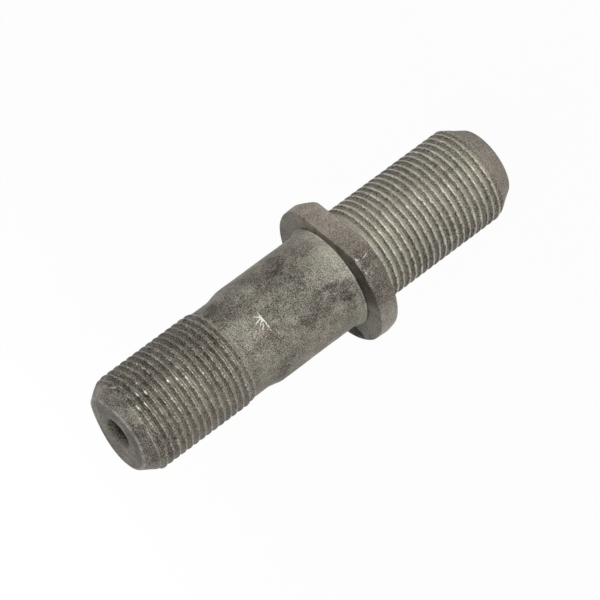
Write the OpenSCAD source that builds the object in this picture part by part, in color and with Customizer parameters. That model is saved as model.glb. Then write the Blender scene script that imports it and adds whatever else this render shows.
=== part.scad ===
// Wheel stud for a truck hub, turned and thread-rolled from one forged blank.
// A plain shank is pressed through the hub flange, a collar with one flat stops it there,
// and a thread at each end takes a nut. Both threads are right-handed, 1.5 mm pitch, and
// are drawn as plain cylinders at the diameter of their crests.
// The origin is the centre of the collar's seat, which bears on the hub flange.
// +Z runs along the stud to the hub end, and +X is square to the collar's flat.

/* [Threads] */
// Major diameter of both threads
thread_d = 19.8; // [19.5:0.1:20.2]
// Length of the sloped run-out behind each thread
runout_len = 1; // [0.6:0.1:1.6]

/* [Hub end] */
// Seat of the collar to the hub end face
hub_len = 51.4; // [44:0.2:64]
// Diameter of the hub end face
hub_face_d = 15.5; // [13:0.1:17.5]
// Depth of the dished hub end face, at the centre hole's mouth
hub_dish = 0.5; // [0:0.1:1]
// Length of the cone that leads onto the hub thread
hub_lead_len = 3.7; // [2:0.1:5]

/* [Neck and shank] */
// Diameter of the plain neck between the hub thread and the shank
neck_d = 19; // [18.6:0.1:19.3]
// Length of the plain neck
neck_len = 3.2; // [2:0.1:6]
// Length of the rise from the neck to the shank
rise_len = 2.6; // [1.5:0.1:4]
// Diameter of the shank
shank_d = 20.2; // [20:0.1:21]
// Seat of the collar to the end of the shank
shank_len = 19.8; // [12:0.2:26]

/* [Collar] */
// Diameter of the collar, at the fullest ring of its rim
collar_d = 29.1; // [27:0.1:34]
// Thickness of the collar
collar_t = 4.6; // [3.6:0.1:7]
// Seat of the collar to the fullest ring of its rim
rim_full_at = 2.2; // [1.5:0.1:2.6]
// Slope of the rim from its fullest ring to the seat, in degrees
seat_draft = 9; // [0:0.5:12]
// Slope of the rim from its fullest ring to the wheel side, in degrees
back_draft = 12; // [0:0.5:15]
// Radius of the collar's edge at the seat
seat_edge_r = 0.2; // [0.1:0.1:0.8]
// Radius of the collar's edge on the wheel side
back_edge_r = 0.8; // [0.2:0.1:1.2]
// Stud's axis to the collar's flat, at the seat
flat_dist = 11.9; // [11.4:0.1:12.4]
// Lean of the flat, outwards to the wheel side, in degrees
flat_lean = 2; // [0:0.5:5]
// Diameter of the swollen root where the shank meets the seat
root_d = 21.3; // [21.1:0.1:22.5]
// Length of the swollen root
root_len = 1.7; // [1:0.1:3]

/* [Wheel end] */
// Back of the collar to the wheel end face
wheel_len = 33.9; // [26:0.1:60]
// Plain stretch between the collar and the run-out of the wheel thread
wheel_neck_len = 0.8; // [0.4:0.1:3]
// Diameter of the wheel end face
wheel_face_d = 14.5; // [13:0.1:17.5]
// Length of the cone that leads onto the wheel thread
wheel_lead_len = 4.3; // [2:0.1:5]

/* [Centre hole] */
// Diameter of the centre hole's mouth in the hub end face
centre_d = 6.4; // [4.5:0.1:8]
// Full angle of the countersink, in degrees
centre_angle = 60; // [55:1:90]
// Diameter of the pilot hole
pilot_d = 3.2; // [2:0.1:4]
// Depth of the pilot hole from the centre hole's mouth
pilot_depth = 8; // [6:0.5:14]
// Full angle of the pilot's drill point, in degrees
point_angle = 118; // [90:1:140]

/* [Hidden] */
steel = [0.40, 0.39, 0.37];
thread_r = thread_d / 2;
neck_r = neck_d / 2;
shank_r = shank_d / 2;
root_r = root_d / 2;
collar_r = collar_d / 2;
back_z = -collar_t;                                  // back of the collar
wheel_z = back_z - wheel_len;                        // wheel end face
neck_z = shank_len + rise_len;                       // shank side of the neck
dish_z = hub_len - hub_dish;                         // mouth of the centre hole
runout_z = neck_z + neck_len;                        // start of the hub thread's run-out
thread_z = runout_z + runout_len;                    // its first full crest
wheel_runout_z = back_z - wheel_neck_len;            // start of the wheel thread's run-out
seat_rim_r = collar_r - rim_full_at * tan(seat_draft);
back_rim_r = collar_r - (collar_t - rim_full_at) * tan(back_draft);
// Radii that ease the corners of the turned shape
face_edge_r = 0.4;
lead_blend_r = 3;
rise_blend_r = 4;
runout_blend_r = 1.2;
root_blend_r = 2;
back_fillet_r = 0.5;
rim_blend_r = 4;
arc_steps = 6;
// Depth of the countersink, and how far the cutters run past a face
sink_depth = (centre_d - pilot_d) / 2 / tan(centre_angle / 2);
past = 1;

// Arc that rounds corner b, between a and c, held to half of each side
function corner(a, b, c, r) =
    let (u = (a - b) / norm(a - b), w = (c - b) / norm(c - b), half = acos(u * w) / 2)
    r == 0 || half > 89.9 ? [b] :
    let (
        t = min(r / tan(half), norm(a - b) / 2, norm(c - b) / 2),
        centre = b + (u + w) / norm(u + w) * t / cos(half),
        p = b + u * t - centre,
        q = b + w * t - centre,
        from = atan2(p.y, p.x),
        turn = (atan2(q.y, q.x) - from + 540) % 360 - 180
    )
    [for (i = [0 : arc_steps])
        centre + norm(p) * [cos(from + turn * i / arc_steps), sin(from + turn * i / arc_steps)]];

// Outline through rows of [x, y, corner radius]
function outline(rows) =
    let (n = len(rows), at = [for (row = rows) [row.x, row.y]])
    [for (i = [0 : n - 1])
        for (point = corner(at[(i + n - 1) % n], at[i], at[(i + 1) % n], rows[i].z)) point];

// Everything that is round about the stud's axis, as one turned section
module turned_body() {
    rotate_extrude($fn = 96)
        polygon(outline([
            [0, wheel_z, 0],
            [wheel_face_d / 2, wheel_z, face_edge_r],
            [thread_r, wheel_z + wheel_lead_len, lead_blend_r],
            [thread_r, wheel_runout_z - runout_len, runout_blend_r],
            [neck_r, wheel_runout_z, runout_blend_r],
            [neck_r, back_z, back_fillet_r],
            [back_rim_r, back_z, back_edge_r],
            [collar_r, -rim_full_at, rim_blend_r],
            [seat_rim_r, 0, seat_edge_r],
            [root_r, 0, 0],
            [shank_r, root_len, root_blend_r],
            [shank_r, shank_len, rise_blend_r],
            [neck_r, neck_z, rise_blend_r],
            [neck_r, runout_z, runout_blend_r],
            [thread_r, thread_z, runout_blend_r],
            [thread_r, hub_len - hub_lead_len, lead_blend_r],
            [hub_face_d / 2, hub_len, face_edge_r],
            [centre_d / 2, dish_z, 0],
            [0, dish_z, 0]
        ]));
}

// Takes the flat off the collar, and leaves its two long edges rounded
module flat_cut() {
    back_dist = flat_dist + collar_t * tan(flat_lean);
    at_seat = flat_dist - past * tan(flat_lean);
    rotate([90, 0, 0])
        linear_extrude(collar_d, center = true)
            polygon(concat(
                corner([0, 0], [flat_dist, 0], [back_dist, back_z], seat_edge_r),
                corner([flat_dist, 0], [back_dist, back_z], [0, back_z], back_edge_r),
                [[back_dist - back_edge_r, back_z - past], [collar_d, back_z - past],
                 [collar_d, past], [at_seat - seat_edge_r, past]]
            ));
}

// Countersunk hole that the blank was turned on
module centre_hole() {
    tip_depth = pilot_d / 2 / tan(point_angle / 2);
    translate([0, 0, dish_z])
        rotate_extrude($fn = 48)
            polygon([
                [0, -pilot_depth - tip_depth],
                [pilot_d / 2, -pilot_depth],
                [pilot_d / 2, -sink_depth],
                [centre_d / 2, 0],
                [centre_d / 2, past],
                [0, past]
            ]);
}

module wheel_stud() {
    color(steel)
        difference() {
            turned_body();
            flat_cut();
            centre_hole();
        }
}

wheel_stud();
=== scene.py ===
import math
import bmesh
import bpy
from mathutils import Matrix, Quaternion, Vector, noise


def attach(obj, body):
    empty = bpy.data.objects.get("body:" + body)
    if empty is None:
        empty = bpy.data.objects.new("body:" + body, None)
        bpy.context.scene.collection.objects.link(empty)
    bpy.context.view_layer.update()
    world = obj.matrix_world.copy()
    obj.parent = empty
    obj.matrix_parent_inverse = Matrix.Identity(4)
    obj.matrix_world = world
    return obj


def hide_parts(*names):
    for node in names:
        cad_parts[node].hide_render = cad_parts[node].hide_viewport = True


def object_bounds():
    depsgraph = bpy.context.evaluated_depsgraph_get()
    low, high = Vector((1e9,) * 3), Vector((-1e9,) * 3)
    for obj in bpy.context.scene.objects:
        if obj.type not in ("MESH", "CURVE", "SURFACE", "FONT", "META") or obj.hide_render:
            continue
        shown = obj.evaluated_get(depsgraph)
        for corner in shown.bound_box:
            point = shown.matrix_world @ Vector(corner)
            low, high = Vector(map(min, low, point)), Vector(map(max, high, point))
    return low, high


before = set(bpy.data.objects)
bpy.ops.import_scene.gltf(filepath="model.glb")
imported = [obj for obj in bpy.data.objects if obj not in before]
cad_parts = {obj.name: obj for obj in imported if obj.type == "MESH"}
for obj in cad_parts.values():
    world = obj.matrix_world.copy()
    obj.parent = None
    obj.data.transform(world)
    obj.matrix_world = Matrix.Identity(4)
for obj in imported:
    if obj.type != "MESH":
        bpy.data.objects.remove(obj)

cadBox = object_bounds()
mm = 0.001
around = 144                                             # edges round every turned ring
hair = 0.01 * mm                                         # a point this near a level lies on it
cutGap = 1e-7                                            # the same for a cut
square = 0.99                                            # a face this true to a way faces it


# Small helpers for edit mode

def startFresh():
    if bpy.context.object and bpy.context.object.mode != 'OBJECT':
        bpy.ops.object.mode_set(mode='OBJECT')
    bpy.ops.object.select_all(action='DESELECT')


def openEdit(piece, kind='EDGE'):
    startFresh()
    bpy.context.view_layer.objects.active = piece
    piece.select_set(True)
    bpy.ops.object.mode_set(mode='EDIT')
    bpy.ops.mesh.select_mode(type=kind)
    bpy.ops.mesh.select_all(action='DESELECT')


# Selects the wanted ones of a mesh's "verts", "edges" or "faces"
def pick(piece, kind, wanted):
    shape = bmesh.from_edit_mesh(piece.data)
    for part in getattr(shape, kind):
        if wanted(part):
            part.select_set(True)
    bmesh.update_edit_mesh(piece.data)


def chosenPoints(piece):
    return [point for point in bmesh.from_edit_mesh(piece.data).verts if point.select]


def smoothStep(value, low, high):
    share = min(max((value - low) / (high - low), 0), 1)
    return share * share * (3 - 2 * share)


# The way that a turn from +X and a rise point, both in radians
def wayAt(turn, rise):
    return Vector((math.cos(rise) * math.cos(turn), math.cos(rise) * math.sin(turn), math.sin(rise)))


# Arc points that ease the corners of rows of [radius, height, corner radius], all in mm
def easedRows(rows, gap=0.8, arcSteps=5, sameSpot=1e-4):
    points = []
    for i, (x, y, ease) in enumerate(rows):
        corner = Vector((x, y))
        if i in (0, len(rows) - 1) or ease == 0:
            points.append(corner)
            continue
        back = Vector(rows[i - 1][:2]) - corner
        ahead = Vector(rows[i + 1][:2]) - corner
        half = back.angle(ahead) / 2
        reach = min(ease / math.tan(half), back.length / 2, ahead.length / 2)
        start = corner + back.normalized() * reach
        end = corner + ahead.normalized() * reach
        for step in range(arcSteps + 1):
            t = step / arcSteps
            points.append(start.lerp(corner, t).lerp(corner.lerp(end, t), t))
    filled = [points[0]]
    for a, b in zip(points, points[1:]):                 # long straight stretches get rings of their own
        cuts = max(1, math.ceil((b - a).length / gap))
        filled += [a.lerp(b, (k + 1) / cuts) for k in range(cuts)]
    return [p for k, p in enumerate(filled) if k == 0 or (p - filled[k - 1]).length > sameSpot]


# A turned stretch: a circle is extruded and scaled from ring to ring
def turnStretch(name, rows, closeEnd=False):
    rings = easedRows(rows)
    startFresh()
    bpy.ops.mesh.primitive_circle_add(vertices=around, radius=rings[0].x * mm, fill_type='NOTHING',
                                      location=(0, 0, rings[0].y * mm))
    piece = bpy.context.object
    piece.name = name
    bpy.ops.object.transform_apply(location=True, rotation=True, scale=True)
    openEdit(piece)
    bpy.ops.mesh.select_all(action='SELECT')
    for a, b in zip(rings, rings[1:]):
        bpy.ops.mesh.extrude_region_move(TRANSFORM_OT_translate={"value": (0, 0, (b.y - a.y) * mm)})
        bpy.ops.transform.resize(value=(b.x / a.x, b.x / a.x, 1), center_override=(0, 0, b.y * mm))
    if closeEnd:
        bpy.ops.mesh.merge(type='CENTER')
    bpy.ops.object.mode_set(mode='OBJECT')
    return piece


# Threads: one pitch of the section is drawn, then screwed up the stud. All in mm
thread = {
    "pitch": 1.5,
    "crestRadius": 9.94,
    "rootRadius": 9.19,
    # distance from the crest's middle, height from 0 at the root to 1 at the crest
    "halfSection": [(0.13, 1.0), (0.21, 0.97), (0.27, 0.88), (0.45, 0.48), (0.62, 0.08), (0.69, 0.0)],
    "neckRadius": 9.49,
    "spareTurns": 1.2,                                   # rolled past each end, then cut off
    "weld": 0.002,                                       # each turn is welded to the next
    "endGap": 0.001,                                     # the points of an end loop lie this near it
    "coneSoft": 0.05,                                    # rounds the edge where the lead cone starts
    # height of a crest that faces +X, both ends, where the grooves die out, start and slope of the cone
    "hub": {"crestAtX": 48.07, "low": 25.6, "high": 49.05, "fadeLow": (25.7, 28.0),
            "coneAt": 47.7, "coneSlope": -0.581},
    "wheel": {"crestAtX": -7.58, "low": -35.55, "high": -5.45, "fadeHigh": (-6.7, -5.5),
              "coneAt": -34.2, "coneSlope": 0.614},
}


# The section's points as (radius, height) below the low end, and the turns that reach past the high end
def threadSection(end):
    pitch = thread["pitch"]
    half = thread["halfSection"]
    section = [(-pitch + d, h) for d, h in half] + [(-d, h) for d, h in reversed(half)]
    section.append((section[0][0] + pitch, section[0][1]))
    turnsDown = math.ceil((end["crestAtX"] - end["low"]) / pitch + thread["spareTurns"])
    base = end["crestAtX"] - turnsDown * pitch
    turns = math.ceil((end["high"] - base) / pitch + thread["spareTurns"])
    deep = thread["crestRadius"] - thread["rootRadius"]
    return [(thread["rootRadius"] + h * deep, base + d) for d, h in section], turns


def rollThread(name, end):
    points, turns = threadSection(end)
    startFresh()
    bpy.ops.mesh.primitive_plane_add(size=mm, location=(0, 0, 0))
    piece = bpy.context.object
    piece.name = name
    openEdit(piece, 'VERT')
    bpy.ops.mesh.select_all(action='SELECT')
    bpy.ops.mesh.merge(type='CENTER')
    bpy.ops.transform.translate(value=(points[0][0] * mm, 0, points[0][1] * mm))
    for a, b in zip(points, points[1:]):
        move = ((b[0] - a[0]) * mm, 0, (b[1] - a[1]) * mm)
        bpy.ops.mesh.extrude_region_move(TRANSFORM_OT_translate={"value": move})
    bpy.ops.object.mode_set(mode='OBJECT')
    screw = piece.modifiers.new("turns", 'SCREW')
    screw.axis = 'Z'
    screw.angle = math.tau
    screw.screw_offset = thread["pitch"] * mm
    screw.iterations = turns
    screw.steps = around
    screw.render_steps = around
    screw.use_merge_vertices = True
    screw.merge_threshold = thread["weld"] * mm
    bpy.ops.object.modifier_apply(modifier=screw.name)
    openEdit(piece, 'VERT')
    bpy.ops.mesh.select_all(action='SELECT')
    bpy.ops.mesh.remove_doubles(threshold=thread["weld"] * mm)
    for place, away in ((end["low"], -1), (end["high"], 1)):
        bpy.ops.mesh.select_all(action='SELECT')
        bpy.ops.mesh.bisect(plane_co=(0, 0, place * mm), plane_no=(0, 0, away), clear_outer=True,
                            threshold=cutGap)
    bpy.ops.object.mode_set(mode='OBJECT')
    fadeThread(piece, end)
    return piece


# The grooves die out at the neck, and the lead cone takes the crests down
def fadeThread(piece, end):
    for point in piece.data.vertices:
        x, y, z = (c / mm for c in point.co)
        r = math.hypot(x, y)
        full = 1
        if "fadeLow" in end:
            full = smoothStep(z, *end["fadeLow"])
        if "fadeHigh" in end:
            full = 1 - smoothStep(z, *end["fadeHigh"])
        new = thread["neckRadius"] + (r - thread["neckRadius"]) * full
        cone = thread["crestRadius"] + (z - end["coneAt"]) * end["coneSlope"]
        new = (new + cone - math.sqrt((new - cone) ** 2 + thread["coneSoft"] ** 2)) / 2
        if abs(z - end["low"]) < thread["endGap"] or abs(z - end["high"]) < thread["endGap"]:
            new = min(thread["neckRadius"], cone)        # both end loops are plain rings
        point.co.x *= new / r
        point.co.y *= new / r


hubThread = rollThread("hubThread", thread["hub"])
wheelThread = rollThread("wheelThread", thread["wheel"])
print("stud: threads rolled,", len(hubThread.data.vertices) + len(wheelThread.data.vertices), "points")

# Ends, neck, shank and the short neck behind the collar, as rows of radius, height and corner radius
body = {
    "hubEnd": [(9.05, 49.15, 0), (7.74, 51.38, 0.25), (3.2, 50.88, 0.12), (1.6, 48.11, 0.2),
               (1.6, 42.9, 0.1), (0.1, 41.9, 0)],
    "shank": [(9.49, 25.5, 0), (9.49, 22.4, 4), (10.09, 19.8, 4), (10.09, 1.9, 2.5), (10.63, 0.28, 0.1),
              (10.45, 0.03, 0)],
    "wheelNeck": [(9.99, -4.63, 0), (9.49, -5.0, 0.3), (9.49, -5.35, 0)],
    "wheelEnd": [(8.97, -35.65, 0), (7.24, -38.5, 0.35), (0.5, -38.5, 0)],
    # heights between which two neighbouring loops are bridged
    "seams": [(49.0, 49.2), (25.4, 25.7), (-0.05, 0.05), (-4.65, -4.55), (-5.5, -5.3), (-35.7, -35.5)],
    "weld": 0.001,
    "sharpFrom": 32,                                     # edges keep a crease above this many degrees
}
hubEnd = turnStretch("hubEnd", body["hubEnd"], closeEnd=True)
shank = turnStretch("shank", body["shank"])
wheelNeck = turnStretch("wheelNeck", body["wheelNeck"])
wheelEnd = turnStretch("wheelEnd", body["wheelEnd"], closeEnd=True)
print("stud: turned stretches made")

# Collar: a barrelled disc, cut flat on one side, its edges bevelled
collar = {
    "seatRadius": 14.3,
    "backRadius": 13.9,
    "thick": 4.6,
    "barrel": {-0.8: 14.36, -1.6: 14.42, -2.4: 14.45, -3.2: 14.34, -3.9: 14.18},
    "seatBevel": 0.1,
    "backBevel": 0.66,
    "bevelSteps": 4,
    "flatAt": 11.86,
    "flatHalf": 8.0,
    "flatLean": 2,
    "flatSeatRound": 0.2,
    "flatBackRound": 0.5,
    # tilts of the two cuts that round each long edge of the flat
    "flatRoundTilts": (30, 60),
    # turn of each cut that eases the flat's corners, and how far below the corner it runs
    "flatCorner": [(9, 0.07), (17, 0.1), (25, 0.07)],
    # cuts across the flat, which give it points of its own
    "strips": (-6.0, -4.5, -3.0, -1.5, 0.0, 1.5, 3.0, 4.5, 6.0),
    "bigFace": 100,                                      # only the seat and the back have a larger area
}


# The disc before the flat: drafted, swelled ring by ring, both edges bevelled
def turnCollar():
    thick = collar["thick"]
    startFresh()
    bpy.ops.mesh.primitive_cylinder_add(vertices=around, radius=collar["seatRadius"] * mm, depth=thick * mm,
                                        end_fill_type='NGON', location=(0, 0, -thick / 2 * mm))
    piece = bpy.context.object
    piece.name = "collar"
    bpy.ops.object.transform_apply(location=True, rotation=True, scale=True)
    openEdit(piece, 'FACE')
    pick(piece, "faces", lambda face: face.normal.z < -square)
    draft = collar["backRadius"] / collar["seatRadius"]
    bpy.ops.transform.resize(value=(draft, draft, 1), center_override=(0, 0, -thick * mm))
    for level, radius in collar["barrel"].items():
        openEdit(piece, 'VERT')
        bpy.ops.mesh.select_all(action='SELECT')
        bpy.ops.mesh.bisect(plane_co=(0, 0, level * mm), plane_no=(0, 0, 1), threshold=cutGap)
        bpy.ops.mesh.select_all(action='DESELECT')
        pick(piece, "verts", lambda point: abs(point.co.z - level * mm) < hair)
        grow = radius * mm / max(point.co.xy.length for point in chosenPoints(piece))
        bpy.ops.transform.resize(value=(grow, grow, 1), center_override=(0, 0, level * mm))
    for level, width in ((0, collar["seatBevel"]), (-thick, collar["backBevel"])):
        openEdit(piece)
        pick(piece, "edges", lambda edge: all(abs(p.co.z - level * mm) < hair for p in edge.verts))
        bpy.ops.mesh.bevel(offset=width * mm, segments=collar["bevelSteps"], affect='EDGES')
    return piece


# The flat's cuts as (point, turn, tilt, way in): the flat, its two long edges, then its corners
def flatCuts():
    lean = math.radians(collar["flatLean"])
    seatEdge = Vector((collar["flatAt"] * mm, 0, 0))
    backEdge = Vector((collar["flatAt"] + collar["thick"] * math.tan(lean), 0, -collar["thick"])) * mm
    cuts = [(seatEdge, 0, lean, 0)]
    for tilt in map(math.radians, collar["flatRoundTilts"]):
        soft = math.cos(tilt) + math.sin(tilt) - 1
        cuts.append((seatEdge, 0, tilt, soft * collar["flatSeatRound"]))
        cuts.append((backEdge, 0, -tilt, soft * collar["flatBackRound"]))
    for side in (-1, 1):                                 # the flat's two ends run into the round rim
        for turn, deep in collar["flatCorner"]:
            corner = Vector((collar["flatAt"], side * collar["flatHalf"], 0)) * mm
            cuts.append((corner, side * math.radians(turn), 0, deep))
    return cuts


def makeCollar():
    piece = turnCollar()
    openEdit(piece, 'FACE')
    for point, turn, tilt, deep in flatCuts():
        way = wayAt(turn, tilt)
        bpy.ops.mesh.select_all(action='SELECT')
        bpy.ops.mesh.bisect(plane_co=point - way * deep * mm, plane_no=way, use_fill=True,
                            clear_outer=True, threshold=cutGap)
    openEdit(piece, 'FACE')
    # the shank and the neck are bridged to the rims of these two faces later
    pick(piece, "faces", lambda face: abs(face.normal.z) > square
         and face.calc_area() > collar["bigFace"] * mm * mm)
    bpy.ops.mesh.delete(type='ONLY_FACE')
    flatWay = wayAt(0, math.radians(collar["flatLean"]))
    for strip in collar["strips"]:
        bpy.ops.mesh.select_all(action='DESELECT')
        pick(piece, "faces", lambda face: face.normal.dot(flatWay) > square)
        bpy.ops.mesh.bisect(plane_co=(0, strip * mm, 0), plane_no=(0, 1, 0), threshold=cutGap)
    bpy.ops.object.mode_set(mode='OBJECT')
    return piece


collarRing = makeCollar()
print("stud: collar made")


# All stretches become one skin, bridged from loop to loop
def joinStud(stretches):
    startFresh()
    for piece in stretches:
        piece.select_set(True)
    bpy.context.view_layer.objects.active = stretches[0]
    bpy.ops.object.join()
    piece = bpy.context.object
    piece.name = "studSkin"
    piece.data.name = "studSkin"
    for low, high in body["seams"]:
        openEdit(piece)
        pick(piece, "edges", lambda edge: edge.is_boundary
             and all(low * mm < p.co.z < high * mm for p in edge.verts))
        bpy.ops.mesh.bridge_edge_loops()
    bpy.ops.mesh.select_all(action='SELECT')
    bpy.ops.mesh.remove_doubles(threshold=body["weld"] * mm)
    bpy.ops.mesh.normals_make_consistent(inside=False)
    bpy.ops.object.mode_set(mode='OBJECT')
    return piece


stud = joinStud([shank, hubEnd, hubThread, collarRing, wheelNeck, wheelThread, wheelEnd])

# Worn and struck places, in mm and degrees
wear = {
    # turn, height, reach round, reach along, way in
    "dents": [
        (-20, 1.2, 8, 0.7, 0.08), (-28, 46.5, 2.5, 0.5, 0.22),
        (-18, 45.1, 2.0, 0.4, 0.2), (-14, 46.5, 3.0, 0.4, 0.18), (-22, 40.5, 1.6, 0.5, 0.2),
        (-26, 39.0, 1.6, 0.4, 0.15), (-31, 37.4, 1.6, 0.4, 0.15), (-50, 44.4, 2.0, 0.4, 0.2),
        (-26, -28.9, 2.0, 0.5, 0.2), (-35, -21.0, 1.6, 0.5, 0.2), (-13, -27.1, 2.0, 0.4, 0.2),
        (14, 48.4, 5.0, 0.6, 0.15), (-46, -30.3, 1.8, 0.5, 0.2), (-28, 19.9, 2.5, 0.5, 0.06),
        (-45, 19.1, 2.0, 0.6, 0.06), (140, 35.0, 2.5, 0.6, 0.2), (95, -19.0, 2.0, 0.5, 0.2),
        (-120, -25.0, 2.0, 0.5, 0.2), (170, 8.0, 6.0, 1.0, 0.06),
    ],
    "dentEnd": 3,                                        # in reaches: a dent moves nothing beyond it
    # turn, reach round, way down: where the rim of the hub end face is knocked back
    "rim": [(106, 50, 0.66), (-50, 32, 0.28)],
    "rimHeights": (49.4, 51.1),
    "rimRadii": (4.5, 7.2),
    # turn, reach round, way in: where the collar's back edge is worn, deepest at the back
    "backEdge": (52, 24, 0.62),
    "backEdgeRadius": 12.5,
    "backEdgeDepths": (2.0, 4.6),
    # forging leaves the shank and the collar a little uneven: height of it, where, scales of the coarse
    # and the small noise, the coarse one's stretch along the stud, the small one's share, and the middle
    "uneven": 0.05,
    "unevenRadius": 9.9,
    "unevenHeights": (-4.6, 24),
    "unevenScales": (0.22, 0.6),
    "unevenAlong": 0.6,
    "unevenSmall": 0.5,
    "unevenMiddle": 0.35,
    "boreRadius": 2,                                     # the hole's skin stays as it is
}


def turnFrom(angle, other):
    return (angle - other + 180) % 360 - 180


# 1 at a turn, and less and less on both sides
def nearTurn(angle, turn, reach):
    return math.exp(-(turnFrom(angle, turn) / reach) ** 2)


# Forging and knocks move the skin a little
def wearSkin(piece):
    lowest, highest = wear["unevenHeights"]
    coarse, small = wear["unevenScales"]
    backTurn, backReach, backDeep = wear["backEdge"]
    for point in piece.data.vertices:
        x, y, z = (c / mm for c in point.co)
        r = math.hypot(x, y)
        if r < wear["boreRadius"]:
            continue
        angle = math.degrees(math.atan2(y, x))
        grow = 0
        if r > wear["unevenRadius"] and lowest < z < highest:
            rough = noise.noise(Vector((x, y, z * wear["unevenAlong"])) * coarse)
            rough += wear["unevenSmall"] * noise.noise(Vector((x, y, z)) * small)
            grow += wear["uneven"] * (rough - wear["unevenMiddle"])
        for turn, height, reach, along, deep in wear["dents"]:
            side = turnFrom(angle, turn)
            if abs(z - height) < wear["dentEnd"] * along and abs(side) < wear["dentEnd"] * reach:
                grow -= deep * math.exp(-((z - height) / along) ** 2 - (side / reach) ** 2)
        if r > wear["backEdgeRadius"]:
            worn = smoothStep(-z, *wear["backEdgeDepths"])
            grow -= backDeep * nearTurn(angle, backTurn, backReach) * worn
        if z > wear["rimHeights"][0]:
            drop = sum(deep * nearTurn(angle, turn, reach) for turn, reach, deep in wear["rim"])
            point.co.z -= drop * mm * smoothStep(z, *wear["rimHeights"]) * smoothStep(r, *wear["rimRadii"])
        point.co.x *= (r + grow) / r
        point.co.y *= (r + grow) / r


wearSkin(stud)
check = bmesh.new()
check.from_mesh(stud.data)
print("stud: open edges", sum(not e.is_manifold for e in check.edges), "volume mm3",
      round(check.calc_volume() / mm ** 3, 1), "faces", len(check.faces),
      "triangles", sum(len(f.verts) - 2 for f in check.faces))
check.free()

startFresh()
bpy.context.view_layer.objects.active = stud
stud.select_set(True)
bpy.ops.object.shade_smooth_by_angle(angle=math.radians(body["sharpFrom"]))
even = stud.modifiers.new("evenNormals", 'WEIGHTED_NORMAL')
even.keep_sharp = True
bpy.ops.object.modifier_apply(modifier=even.name)


# Shader sums are written on this
class Wire:
    def __init__(self, tree, socket):
        self.tree = tree
        self.socket = socket

    def node(self, kind, settings=None, values=None, output=0):
        made = self.tree.nodes.new(kind)
        for name, value in (settings or {}).items():
            setattr(made, name, value)
        for name, value in (values or {}).items():
            if isinstance(value, Wire):
                self.tree.links.new(value.socket, made.inputs[name])
            else:
                made.inputs[name].default_value = value
        return Wire(self.tree, made.outputs[output])

    def math(self, operation, first, second=0.0):
        return self.node('ShaderNodeMath', {"operation": operation}, {0: first, 1: second})

    def __add__(self, other):
        return self.math('ADD', self, other)

    def __sub__(self, other):
        return self.math('SUBTRACT', self, other)

    def __mul__(self, other):
        return self.math('MULTIPLY', self, other)

    def __truediv__(self, other):
        return self.math('DIVIDE', self, other)

    def __rsub__(self, other):
        return self.math('SUBTRACT', other, self)

    __radd__ = __add__
    __rmul__ = __mul__

    # the greater of two values
    def top(self, other):
        return self.math('MAXIMUM', self, other)

    # 0 below the first value, 1 above the second, eased between
    def between(self, start, end):
        return self.node('ShaderNodeMapRange', {"interpolation_type": 'SMOOTHSTEP'},
                         {"Value": self, "From Min": start, "From Max": end})

    # the first colour at 0, the second at 1; a Mix node has its colours in sockets 6 and 7, and out at 2
    def mixed(self, first, second):
        return self.node('ShaderNodeMix', {"data_type": 'RGBA'}, {0: self, 6: first, 7: second}, 2)

    # one colour times another
    def tinted(self, other):
        return self.node('ShaderNodeMix', {"data_type": 'RGBA', "blend_type": 'MULTIPLY'},
                         {0: 1.0, 6: self, 7: other}, 2)

    def cloud(self, scale, detail, rough, shift):
        moved = self.node('ShaderNodeVectorMath', {"operation": 'ADD'}, {0: self, 1: (shift, shift, shift)})
        return self.node('ShaderNodeTexNoise', None,
                         {"Vector": moved, "Scale": scale, "Detail": detail, "Roughness": rough})


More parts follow.
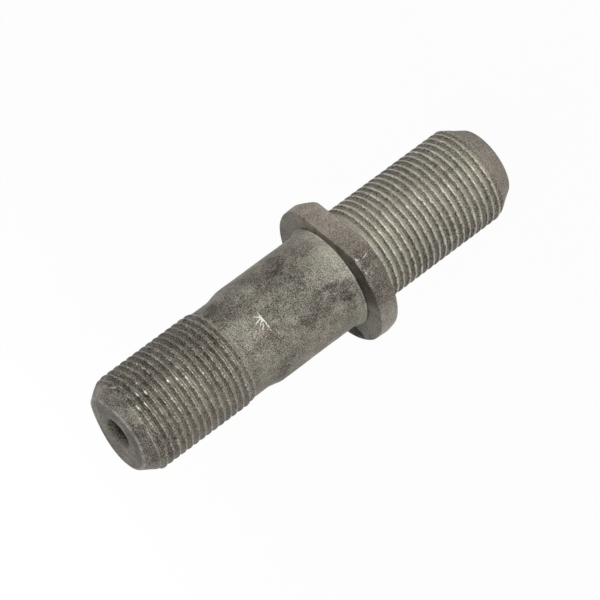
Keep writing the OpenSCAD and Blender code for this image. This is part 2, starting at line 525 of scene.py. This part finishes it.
# Phosphated steel, with painted light and painted shade on the threads, the seat, the hole, the hub end and
# the thin edges. Places are in mm and degrees, and fades run from 0 at the first value to 1 at the second
steel = {
    "dark": (0.05, 0.046, 0.04, 1),
    "light": (0.42, 0.40, 0.36, 1),
    # pale bare metal, also used for the painted highlights on the two thin edges
    "bareAndHighlight": (0.78, 0.77, 0.73, 1),
    "olive": (0.98, 1.0, 0.90, 1),
    "brown": (1.0, 0.92, 0.86, 1),
    "tone": 0.37,                                        # from dark to light
    "warmth": 0.5,                                       # from olive to brown
    "metallic": 0.45,
    "roughness": 0.58,
    "bumpStrength": 0.6,
    "bumpDistance": 0.07,
    # scale per metre, detail, roughness and shift
    "noises": {
        "cloud": (150, 3, 0.55, 0.0), "blot": (480, 3, 0.6, 0.3), "speck": (2700, 2, 0.65, 0.7),
        "grain": (5400, 1, 0.5, 1.1), "hue": (900, 3, 0.6, 1.9), "tinge": (3600, 1, 0.5, 2.7),
    },
    # how much each noise adds, to either side of its middle
    "toneNoise": {"cloud": 0.7, "blot": 0.7},
    "fineNoise": {"speck": 0.9, "grain": 2.4},
    "warmNoise": {"hue": 2.4, "tinge": 2.0},
    "patchNoise": {"blot": 1.3, "cloud": 0.6},
    "bumpNoise": {"speck": 0.6, "grain": 0.4, "blot": 0.8},
    # strength of the fine noise in all places, and what each of these adds to it
    "fine": 0.9,
    "fineOnThread": 0.4,
    "fineOnWheel": 0.5,
    "fineOnCollar": -0.15,
    # heights at which a zone begins, or ends
    "levels": {
        "wheelLead": (-35.3, -34.8), "wheelThread": (-35.0, -34.0), "collarClear": (-6.2, -5.5),
        "collarBack": (-4.8, -4.7), "collarFront": (-0.2, -0.1), "seatBelow": (-0.12, -0.03),
        "seatAbove": (0.04, 0.1), "lipBelow": (0.2, 0.26), "lipAbove": (0.4, 0.7),
        "hubThread": (26.2, 27.2), "boreBottom": (40, 41), "hubLead": (48.5, 49.1), "faceRim": (50.3, 50.8),
    },
    # the same for distances from the axis
    "radii": {
        "bore": (2.0, 3.2), "rimInside": (7.2, 7.5), "rimOutside": (7.85, 8.0), "crest": (9.8, 9.93),
        "lip": (10.45, 10.58),
    },
    # parts of a pitch: where the crest lies, and where the painted shade on its dark side and the painted
    # light on its light side start and end
    "crestPhase": 0.2,
    "shadeFrom": (0.2, 0.3),
    "shadeTo": (0.35, 0.55),
    "lightFrom": (0.5, 0.72),
    "lightTo": (0.18, 0.26),
    # painted light and shade added on the hub thread's crests and flanks, and how much more on the wheel
    # thread
    "crestLightAndShade": (-0.19, 0.39),
    "shadeTone": (-0.24, -0.20),
    "lightTone": (0.16, 0.16),
    # painted shade added in the bore, and roughness added by the specks and on the crests
    "boreShade": -0.6,
    "speckRoughness": 0.3,
    "crestRoughness": -0.08,
    # soot lies where the tone is below a level, and fades in under it
    "sootBelow": -0.15,
    "sootFade": 0.4,
    "sootMetallic": 0.5,
    "sootRoughness": 0.4,
    # a painted highlight, with some bare metal, on the two thin edges, and bare metal in sparks on the
    # crests
    "edgeHighlight": 0.3,
    "edgeBlot": (0.3, 0.6),
    "sparkBare": 0.5,
    "sparkFrom": (0.83, 1.0),
    "sparkBlot": 0.5,
    "sparkOnWheel": 0.08,
    # low z, high z, how far it fades, tone added, brownness added
    "stretches": [
        (-40, -34.4, 0.3, -0.04, 0.4), (-34.3, -5.3, 0.3, 0.12, -0.1), (-5.3, -0.1, 0.05, 0.0, 0.5),
        (-9.2, -5.3, 0.5, 0.10, -0.2), (0.35, 2.0, 0.5, 0.08, -0.3), (16.0, 26.0, 2.0, -0.03, -0.1),
        (26.2, 47.7, 0.4, 0.10, 0.1), (50.9, 52.0, 0.2, -0.10, 0.3),
    # the last stretch is painted shade on the hub end face, which faces away from the lamps, and makes it
    # browner
    ],
    "patchEdge": (0.35, 1.15),
    # turn, height, radius, reach, tone added, brownness added
    "patches": [
        # shank and neck
        (-54, 7.0, 10, 3.4, -0.15, 0.5), (-55, 3.8, 10, 2.8, -0.16, 0.4), (9, 3.1, 10, 2.8, -0.16, 0.2),
        (-66, 2.0, 10, 1.2, -0.15, 0.2), (8, 24.0, 9.7, 4.4, -0.24, 0.4), (-49, 21.0, 10, 3.2, -0.15, 0.4),
        (13, 9.6, 10, 3.4, -0.14, 0.4), (-94, 20.9, 10, 2.2, -0.12, 0.3), (8, 14.0, 10, 4.0, -0.10, 0.3),
        (-16, 2.7, 10, 3.4, 0.12, -0.6), (24, 2.0, 10, 2.4, 0.08, -0.5), (-15, 23.5, 10, 2.6, 0.10, -0.5),
        # the first of these is painted shade that dims the shank's highlight where it faces the key lamp
        (-37, 12.0, 10, 6.5, -0.13, -0.1), (-75, 12.0, 10, 5.5, -0.02, 0.4),
        # rim of the collar
        (-105, -2.3, 14, 7.5, 0.32, -0.5), (-60, -2.3, 14, 8.0, -0.17, 0.3),
        (-41, -2.3, 14, 2.4, -0.20, 0.2), (-11, -2.3, 14, 4.2, -0.13, 0.1),
        (14, -2.3, 12.4, 9.5, 0.15, 0.5), (60, -1.0, 14, 5.0, 0.16, -0.5),
        # both ends
        (-68, 50.0, 8.5, 6.5, -0.19, 0.6), (-47, 50.2, 8.5, 2.2, -0.1, 0.5), (-25, 49.8, 9, 2.6, 0.07, -0.4),
        # the first two here: painted light on the top of the hub end's cone, then painted shade on the top
        # of its end face
        (34, 50.0, 8.5, 2.6, 0.14, 0.1), (30, 51.2, 6, 5.0, -0.10, 0.2), (-38, -36.5, 8.8, 5.0, 0.14, 0.5),
        # threads: painted light where they face the key lamp, painted shade at the sides turned away from it
        # and on the top of the hub thread
        (-80, 37.0, 9.9, 9.0, 0.07, 0.0), (25, 38.0, 9.9, 13.0, -0.18, 0.0),
        (-98, -20.0, 9.9, 12.0, -0.10, 0.1), (34, -20.0, 9.9, 12.0, -0.10, 0.1),
        (-24, -12.0, 9.9, 12.0, 0.21, -0.1), (-24, -27.0, 9.9, 11.0, 0.19, -0.1),
    ],
    # the same on the collar's seat alone: painted shade where the shank shades the seat, darkest in the
    # painted shadow the shank casts near turn -157
    "seat": [
        (-157, 0.0, 12.9, 2.9, -0.9, 0.0), (-118, 0.0, 12.2, 7.0, -0.26, 0.2),
        (-75, 0.0, 12.3, 5.0, -0.12, 0.3), (-36, 0.0, 12.6, 6.5, -0.19, 0.2),
        (-2, 0.0, 12.2, 5.0, -0.26, 0.2), (72, 0.0, 12.4, 9.0, -0.12, 0.3),
    ],
    "scratchEdge": (0.3, 1.1),
    "scratchSpeck": 2.0,                                 # how much the specks break a scratch up
    "scratchDepth": 1.5,                                 # how far through the skin it shows
    # turn, height, radius, half length, half width, slant from the round way, strength
    "scratches": [
        # star on the shank
        (-32, 19.22, 10.1, 2.4, 0.10, 0, 0.75), (-28, 19.42, 10.1, 0.9, 0.3, 0, 0.6),
        (-23.7, 19.9, 10.1, 0.8, 0.11, 50, 0.6), (-28, 20.1, 10.1, 1.05, 0.12, 104, 0.6),
        (-31.5, 20.0, 10.1, 0.9, 0.1, 130, 0.55), (-35.5, 20.0, 10.1, 0.8, 0.1, 136, 0.5),
        # corner of the collar: worn metal, with a painted highlight on the corner
        (-37, -0.5, 14.3, 0.35, 0.18, 20, 0.55), (-38, -2.2, 14.4, 0.7, 0.09, -75, 0.5),
        (-49, -0.6, 14.3, 0.3, 0.14, 0, 0.5),
        # start of the hub thread, then nicks on its crests
        (-70, 48.9, 9.1, 4.5, 0.12, 1.5, 0.25), (14, 48.4, 9.5, 0.9, 0.16, 20, 0.5),
        (-26, 48.0, 9.6, 0.6, 0.16, 0, 0.7), (-28, 46.5, 9.9, 0.6, 0.14, 0, 0.75),
        (-14, 46.5, 9.9, 0.5, 0.16, 0, 0.6), (-18, 45.1, 9.9, 0.6, 0.16, 0, 0.7),
        (-50, 44.4, 9.9, 1.2, 0.12, 0, 0.5), (-22, 40.5, 9.9, 0.3, 0.16, 0, 0.75),
        (-26, 39.0, 9.9, 0.4, 0.14, 0, 0.6), (-31, 37.4, 9.9, 0.5, 0.14, 0, 0.5),
        # nicks on the wheel thread's crests
        (-24, -19.5, 9.9, 0.4, 0.16, 0, 0.7), (-35, -21.0, 9.9, 0.5, 0.16, 0, 0.7),
        (-13, -27.1, 9.9, 0.5, 0.16, 0, 0.6), (-26, -28.9, 9.9, 0.5, 0.18, 0, 0.8),
        (-46, -30.3, 9.9, 0.5, 0.16, 0, 0.7),
    ],
}


# A place on the skin, in metres
def skinPoint(turn, height, radius):
    angle = math.radians(turn)
    return (radius * mm * math.cos(angle), radius * mm * math.sin(angle), height * mm)


# Noises added up by their amounts, each to either side of 0
def mottle(noises, amounts):
    return sum((noises[name] - 0.5) * amount for name, amount in amounts.items())


# Painted light and shade that a thread adds: painted shade on the hub thread's crests and a painted
# highlight on the wheel thread's, painted shade on the flank below each crest and painted light on the lit
# flank; its phase goes from 0 to 1 once a pitch, rising towards the hub end
def threadLightAndShade(x, y, z, rolled, crest, onWheel):
    hubStart, wheelStart = (thread[end]["crestAtX"] / thread["pitch"] - steel["crestPhase"]
                            for end in ("hub", "wheel"))
    start = hubStart + onWheel * (wheelStart - hubStart)
    turned = z / thread["pitch"] - y.math('ARCTAN2', y, x) / math.tau - start
    phase = turned.math('FRACT', turned)
    shaded = phase.between(*steel["shadeFrom"]) * (1 - phase.between(*steel["shadeTo"])) * rolled
    lit = (phase.between(*steel["lightFrom"]) + 1 - phase.between(*steel["lightTo"])) * rolled
    tone = 0
    for share, (onBoth, more) in ((crest, steel["crestLightAndShade"]), (shaded, steel["shadeTone"]),
                                  (lit, steel["lightTone"])):
        tone = tone + share * (onWheel * more + onBoth)
    return tone


# Stretches along the stud and patches on its skin, as (share, tone added, brownness added): stains, with
# painted light and painted shade among them
def stainAndShadeShares(place, z, noises, onSeat):
    for low, high, fade, amount, brown in steel["stretches"]:
        share = z.between(low - fade, low + fade) * (1 - z.between(high - fade, high + fade))
        yield share, amount, brown
    ragged = mottle(noises, steel["patchNoise"])
    for rows, mask in ((steel["patches"], 1), (steel["seat"], onSeat)):
        for turn, height, skin, reach, amount, brown in rows:
            far = place.node('ShaderNodeVectorMath', {"operation": 'DISTANCE'},
                             {0: place, 1: skinPoint(turn, height, skin)}, 1)
            share = 1 - (far / (reach * mm) + ragged).between(*steel["patchEdge"])
            yield share * mask, amount, brown


# 1 on a short straight scratch, which the specks break up
def scratchShare(place, speck, turn, height, skin, longHalf, wideHalf, slant):
    lean = math.radians(slant)
    up = Vector((0, 0, 1))
    outWay = wayAt(math.radians(turn), 0)
    roundWay = up.cross(outWay)
    longWay = roundWay * math.cos(lean) + up * math.sin(lean)
    wideWay = up * math.cos(lean) - roundWay * math.sin(lean)
    offset = place.node('ShaderNodeVectorMath', {"operation": 'SUBTRACT'},
                        {0: place, 1: skinPoint(turn, height, skin)})
    total = 0
    for way, reach in ((longWay, longHalf), (wideWay, wideHalf), (outWay, steel["scratchDepth"])):
        part = offset.node('ShaderNodeVectorMath', {"operation": 'DOT_PRODUCT'},
                           {0: offset, 1: tuple(way / (reach * mm))}, 1)
        total = part * part + total
    return 1 - (total + (speck - 0.5) * steel["scratchSpeck"]).between(*steel["scratchEdge"])


# Where the coating is gone, and painted highlights: a painted highlight on the shank's lip and the rim of
# the hub end face, sparks on crests, scratches
def bareAndHighlightShare(place, noises, above, beyond, crest, onWheel):
    lip = beyond["lip"] * above["lipBelow"] * (1 - above["lipAbove"])
    ridge = beyond["rimInside"] * (1 - beyond["rimOutside"]) * above["faceRim"]
    bareAndHighlight = lip.top(ridge) * noises["blot"].between(*steel["edgeBlot"]) * steel["edgeHighlight"]
    spark = noises["speck"] + noises["blot"] * steel["sparkBlot"] + onWheel * steel["sparkOnWheel"]
    bareAndHighlight = bareAndHighlight.top(crest * spark.between(*steel["sparkFrom"]) * steel["sparkBare"])
    for *where, strength in steel["scratches"]:
        bareAndHighlight = bareAndHighlight.top(scratchShare(place, noises["speck"], *where) * strength)
    return bareAndHighlight


def steelAndPaintedShade():
    made = bpy.data.materials.new("phosphatedSteel")
    made.use_nodes = True
    tree = made.node_tree
    shader = tree.nodes["Principled BSDF"]
    place = Wire(tree, tree.nodes.new('ShaderNodeTexCoord').outputs["Object"])
    apart = place.node('ShaderNodeSeparateXYZ', None, {0: place})
    x, y, z = (Wire(tree, apart.socket.node.outputs[k]) / mm for k in range(3))
    radius = place.math('SQRT', x * x + y * y)
    noises = {name: place.cloud(*row) for name, row in steel["noises"].items()}
    above = {name: z.between(*fade) for name, fade in steel["levels"].items()}
    beyond = {name: radius.between(*fade) for name, fade in steel["radii"].items()}
    onThread = above["hubThread"].top(1 - above["collarClear"])
    onWheel = (1 - above["collarClear"]) * above["wheelThread"]
    rolled = onThread * (1 - above["hubLead"]) * above["wheelLead"]
    crest = beyond["crest"] * onThread
    onCollar = above["collarBack"] * (1 - above["collarFront"])
    onSeat = above["seatBelow"] * (1 - above["seatAbove"])
    bore = (1 - beyond["bore"]) * above["boreBottom"]

    fine = (steel["fine"] + rolled * steel["fineOnThread"] + onWheel * steel["fineOnWheel"]
            + onCollar * steel["fineOnCollar"])
    # the tone takes in the threads' painted light and shade as well
    tone = (steel["tone"] + mottle(noises, steel["toneNoise"]) + mottle(noises, steel["fineNoise"]) * fine
            + threadLightAndShade(x, y, z, rolled, crest, onWheel))
    warm = steel["warmth"] + mottle(noises, steel["warmNoise"])
    for share, amount, brown in stainAndShadeShares(place, z, noises, onSeat):
        tone = tone + share * amount
        warm = warm + share * brown
    soot = bore.top((steel["sootBelow"] - tone).between(0.0, steel["sootFade"]))
    # painted shade deep in the hole
    tone = tone + bore * steel["boreShade"]
    bareAndHighlight = bareAndHighlightShare(place, noises, above, beyond, crest, onWheel)

    colour = tone.mixed(steel["dark"], steel["light"]).tinted(warm.mixed(steel["olive"], steel["brown"]))
    colour = bareAndHighlight.mixed(colour, steel["bareAndHighlight"])
    metallic = steel["metallic"] + soot * steel["sootMetallic"]
    rough = (steel["roughness"] + (noises["speck"] - 0.5) * steel["speckRoughness"]
             + crest * steel["crestRoughness"] + soot * steel["sootRoughness"])
    bump = place.node('ShaderNodeBump', None, {"Height": mottle(noises, steel["bumpNoise"]),
                                               "Strength": steel["bumpStrength"],
                                               "Distance": steel["bumpDistance"] * mm})
    tree.links.new(colour.socket, shader.inputs["Base Color"])
    tree.links.new(metallic.socket, shader.inputs["Metallic"])
    tree.links.new(rough.socket, shader.inputs["Roughness"])
    tree.links.new(bump.socket, shader.inputs["Normal"])
    return made


stud.data.materials.clear()
stud.data.materials.append(steelAndPaintedShade())
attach(stud, "root")
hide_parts("wheel_stud")
print("stud: finish made")

# White studio: a floor, a pale world, one wide lamp near the camera and softer ones round the back
studio = {
    "floorSize": 6,                                      # in metres, as are the lamps' sizes
    "floorColour": (0.9, 0.9, 0.9, 1),
    "floorShow": 0.96,                                   # how much of the floor shows plain white
    "worldLevel": 0.34,
    "lampAim": 6.4,                                      # height on the stud's axis, in mm
    "lampDistance": 0.6,                                 # in metres
    # name, turn and rise as seen from the stud, power, width, height, whether the steel mirrors it
    "lamps": [
        ("key", -36, 3, 2.5, 0.42, 0.1, True), ("leftEdge", 75, 4, 0.5, 0.3, 0.08, False),
        ("rightEdge", -145, 4, 0.5, 0.3, 0.08, False), ("back", 145, 4, 2.0, 0.4, 0.08, False),
    ],
}


# 1 for what the camera sees directly, in a mirror or through glass
def whiteShare(tree):
    path = tree.nodes.new('ShaderNodeLightPath')
    seen = Wire(tree, path.outputs["Is Camera Ray"])
    return seen.top(Wire(tree, path.outputs["Is Glossy Ray"])).top(
        Wire(tree, path.outputs["Is Transmission Ray"]))


def makeFloor():
    startFresh()
    bpy.ops.mesh.primitive_plane_add(size=studio["floorSize"], location=(0, 0, cadBox[0].z))
    floor = bpy.context.object
    floor.name = "floor"
    bpy.ops.object.transform_apply(location=True, rotation=True, scale=True)
    made = bpy.data.materials.new("whiteFloor")
    made.use_nodes = True
    tree = made.node_tree
    tree.nodes.remove(tree.nodes["Principled BSDF"])
    share = whiteShare(tree)
    matte = share.node('ShaderNodeBsdfDiffuse', None, {"Color": studio["floorColour"]})
    glow = share.node('ShaderNodeEmission', None, {"Color": (1, 1, 1, 1), "Strength": 1.0})
    both = share.node('ShaderNodeMixShader', None, {0: share * studio["floorShow"], 1: matte, 2: glow})
    tree.links.new(both.socket, tree.nodes["Material Output"].inputs["Surface"])
    floor.data.materials.append(made)


def makeWorld():
    world = bpy.data.worlds.new("studio")
    bpy.context.scene.world = world
    world.use_nodes = True
    tree = world.node_tree
    share = whiteShare(tree)
    level = share * (1 - studio["worldLevel"]) + studio["worldLevel"]
    glow = tree.nodes["Background"]
    glow.inputs["Color"].default_value = (1, 1, 1, 1)
    tree.links.new(level.socket, glow.inputs["Strength"])


def aimLamp(name, turn, rise, power, width, height, mirrored):
    way = wayAt(math.radians(turn), math.radians(rise))
    lamp = bpy.data.lights.new(name, 'AREA')
    lamp.energy = power
    lamp.shape = 'RECTANGLE'
    lamp.size = width
    lamp.size_y = height
    holder = bpy.data.objects.new(name, lamp)
    bpy.context.scene.collection.objects.link(holder)
    holder.location = Vector((0, 0, studio["lampAim"] * mm)) + way * studio["lampDistance"]
    holder.visible_camera = False
    holder.visible_glossy = mirrored
    holder.rotation_euler = (-way).to_track_quat('-Z', 'Y').to_euler()


# Where the camera looks, and from where, in mm and degrees
camera = {
    "aim": (0.405, -0.535, 7.801),
    "turn": -34.96,
    "rise": 20.46,
    "distance": 656.0,
    "roll": -126.56,
    "lens": 214.1,
    "sensor": 36,
    "nearest": 10,
}


def makeCamera():
    way = wayAt(math.radians(camera["turn"]), math.radians(camera["rise"]))
    data = bpy.data.cameras.new("camera")
    data.lens = camera["lens"]
    data.sensor_width = camera["sensor"]
    data.clip_start = camera["nearest"] * mm
    holder = bpy.data.objects.new("camera", data)
    bpy.context.scene.collection.objects.link(holder)
    holder.location = (Vector(camera["aim"]) + way * camera["distance"]) * mm
    facing = (-way).to_track_quat('-Z', 'Y') @ Quaternion((0, 0, 1), math.radians(camera["roll"]))
    holder.rotation_euler = facing.to_euler()
    bpy.context.scene.camera = holder


makeFloor()
makeWorld()
for lamp in studio["lamps"]:
    aimLamp(*lamp)
makeCamera()
bpy.context.scene.view_settings.view_transform = 'Standard'
print("stud: studio set")
